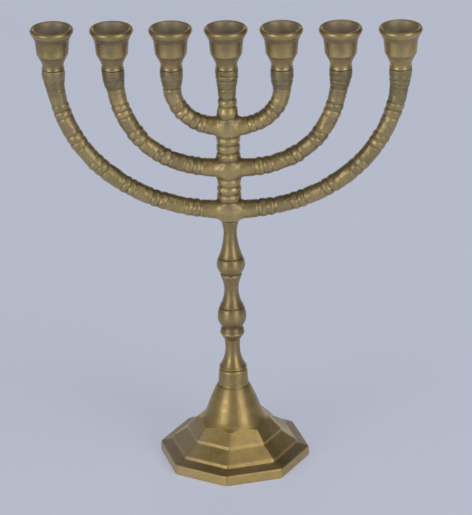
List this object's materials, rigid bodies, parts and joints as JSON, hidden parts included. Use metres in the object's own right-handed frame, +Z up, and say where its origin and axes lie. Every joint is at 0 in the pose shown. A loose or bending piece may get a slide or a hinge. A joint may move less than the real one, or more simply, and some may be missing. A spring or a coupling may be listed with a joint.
{
  "type": "menorah",
  "caption": "Branched candle holder with a hollow octagonal foot, a turned stem, nested ringed arms in one plane and candle cups that unscrew",
  "frame": {"origin": "on the floor, under the middle of the stem", "axes": "+Z up, the arms spread along X, the front faces -Y"},
  "size_m": [0.231, 0.0922, 0.2797],
  "materials": {
    "foot_brass": "aged satin brass, cast and hand filed",
    "stem_brass": "aged satin brass, turned",
    "tree_brass": "aged brass, rough from the mould",
    "cup_brass": "aged satin brass, turned",
    "stud_brass": "bare brass",
    "steel": "plated steel"
  },
  "bodies": {
    "holder": {"foot": "foot_brass", "foot_rod": "steel", "foot_washer": "steel", "foot_nut": "steel", "stem": "stem_brass", "tree_stud": "stud_brass", "tree": "tree_brass"},
    "stud_1": {"cup_stud_1": "stud_brass"},
    "cup_1": {"cup_1": "cup_brass"},
    "stud_2": {"cup_stud_2": "stud_brass"},
    "cup_2": {"cup_2": "cup_brass"},
    "stud_3": {"cup_stud_3": "stud_brass"},
    "cup_3": {"cup_3": "cup_brass"},
    "stud_4": {"cup_stud_4": "stud_brass"},
    "cup_4": {"cup_4": "cup_brass"},
    "stud_5": {"cup_stud_5": "stud_brass"},
    "cup_5": {"cup_5": "cup_brass"},
    "stud_6": {"cup_stud_6": "stud_brass"},
    "cup_6": {"cup_6": "cup_brass"},
    "stud_7": {"cup_stud_7": "stud_brass"},
    "cup_7": {"cup_7": "cup_brass"}
  },
  "joints": [
    {"name": "cup_1_turn", "type": "hinge", "parent": "holder", "child": "stud_1", "pos_m": [-0.10247, 0, 0.2543], "axis": [0, 0, 1], "range_deg": [0, 2160]},
    {"name": "cup_1_rise", "type": "slide", "parent": "stud_1", "child": "cup_1", "axis": [0, 0, 1], "range_m": [0, 0.00482]},
    {"name": "cup_2_turn", "type": "hinge", "parent": "holder", "child": "stud_2", "pos_m": [-0.06734, 0, 0.2543], "axis": [0, 0, 1], "range_deg": [0, 2160]},
    {"name": "cup_2_rise", "type": "slide", "parent": "stud_2", "child": "cup_2", "axis": [0, 0, 1], "range_m": [0, 0.00482]},
    {"name": "cup_3_turn", "type": "hinge", "parent": "holder", "child": "stud_3", "pos_m": [-0.0326, 0, 0.2543], "axis": [0, 0, 1], "range_deg": [0, 2160]},
    {"name": "cup_3_rise", "type": "slide", "parent": "stud_3", "child": "cup_3", "axis": [0, 0, 1], "range_m": [0, 0.00482]},
    {"name": "cup_4_turn", "type": "hinge", "parent": "holder", "child": "stud_4", "pos_m": [0, 0, 0.2543], "axis": [0, 0, 1], "range_deg": [0, 2160]},
    {"name": "cup_4_rise", "type": "slide", "parent": "stud_4", "child": "cup_4", "axis": [0, 0, 1], "range_m": [0, 0.00482]},
    {"name": "cup_5_turn", "type": "hinge", "parent": "holder", "child": "stud_5", "pos_m": [0.0326, 0, 0.2543], "axis": [0, 0, 1], "range_deg": [0, 2160]},
    {"name": "cup_5_rise", "type": "slide", "parent": "stud_5", "child": "cup_5", "axis": [0, 0, 1], "range_m": [0, 0.00482]},
    {"name": "cup_6_turn", "type": "hinge", "parent": "holder", "child": "stud_6", "pos_m": [0.06734, 0, 0.2543], "axis": [0, 0, 1], "range_deg": [0, 2160]},
    {"name": "cup_6_rise", "type": "slide", "parent": "stud_6", "child": "cup_6", "axis": [0, 0, 1], "range_m": [0, 0.00482]},
    {"name": "cup_7_turn", "type": "hinge", "parent": "holder", "child": "stud_7", "pos_m": [0.10247, 0, 0.2543], "axis": [0, 0, 1], "range_deg": [0, 2160]},
    {"name": "cup_7_rise", "type": "slide", "parent": "stud_7", "child": "cup_7", "axis": [0, 0, 1], "range_m": [0, 0.00482]}
  ],
  "couplings": [
    {"joint": "cup_1_rise", "follows": "cup_1_turn", "m_per_rad": 0.00012732},
    {"joint": "cup_2_rise", "follows": "cup_2_turn", "m_per_rad": 0.00012732},
    {"joint": "cup_3_rise", "follows": "cup_3_turn", "m_per_rad": 0.00012732},
    {"joint": "cup_4_rise", "follows": "cup_4_turn", "m_per_rad": 0.00012732},
    {"joint": "cup_5_rise", "follows": "cup_5_turn", "m_per_rad": 0.00012732},
    {"joint": "cup_6_rise", "follows": "cup_6_turn", "m_per_rad": 0.00012732},
    {"joint": "cup_7_rise", "follows": "cup_7_turn", "m_per_rad": 0.00012732}
  ]
}
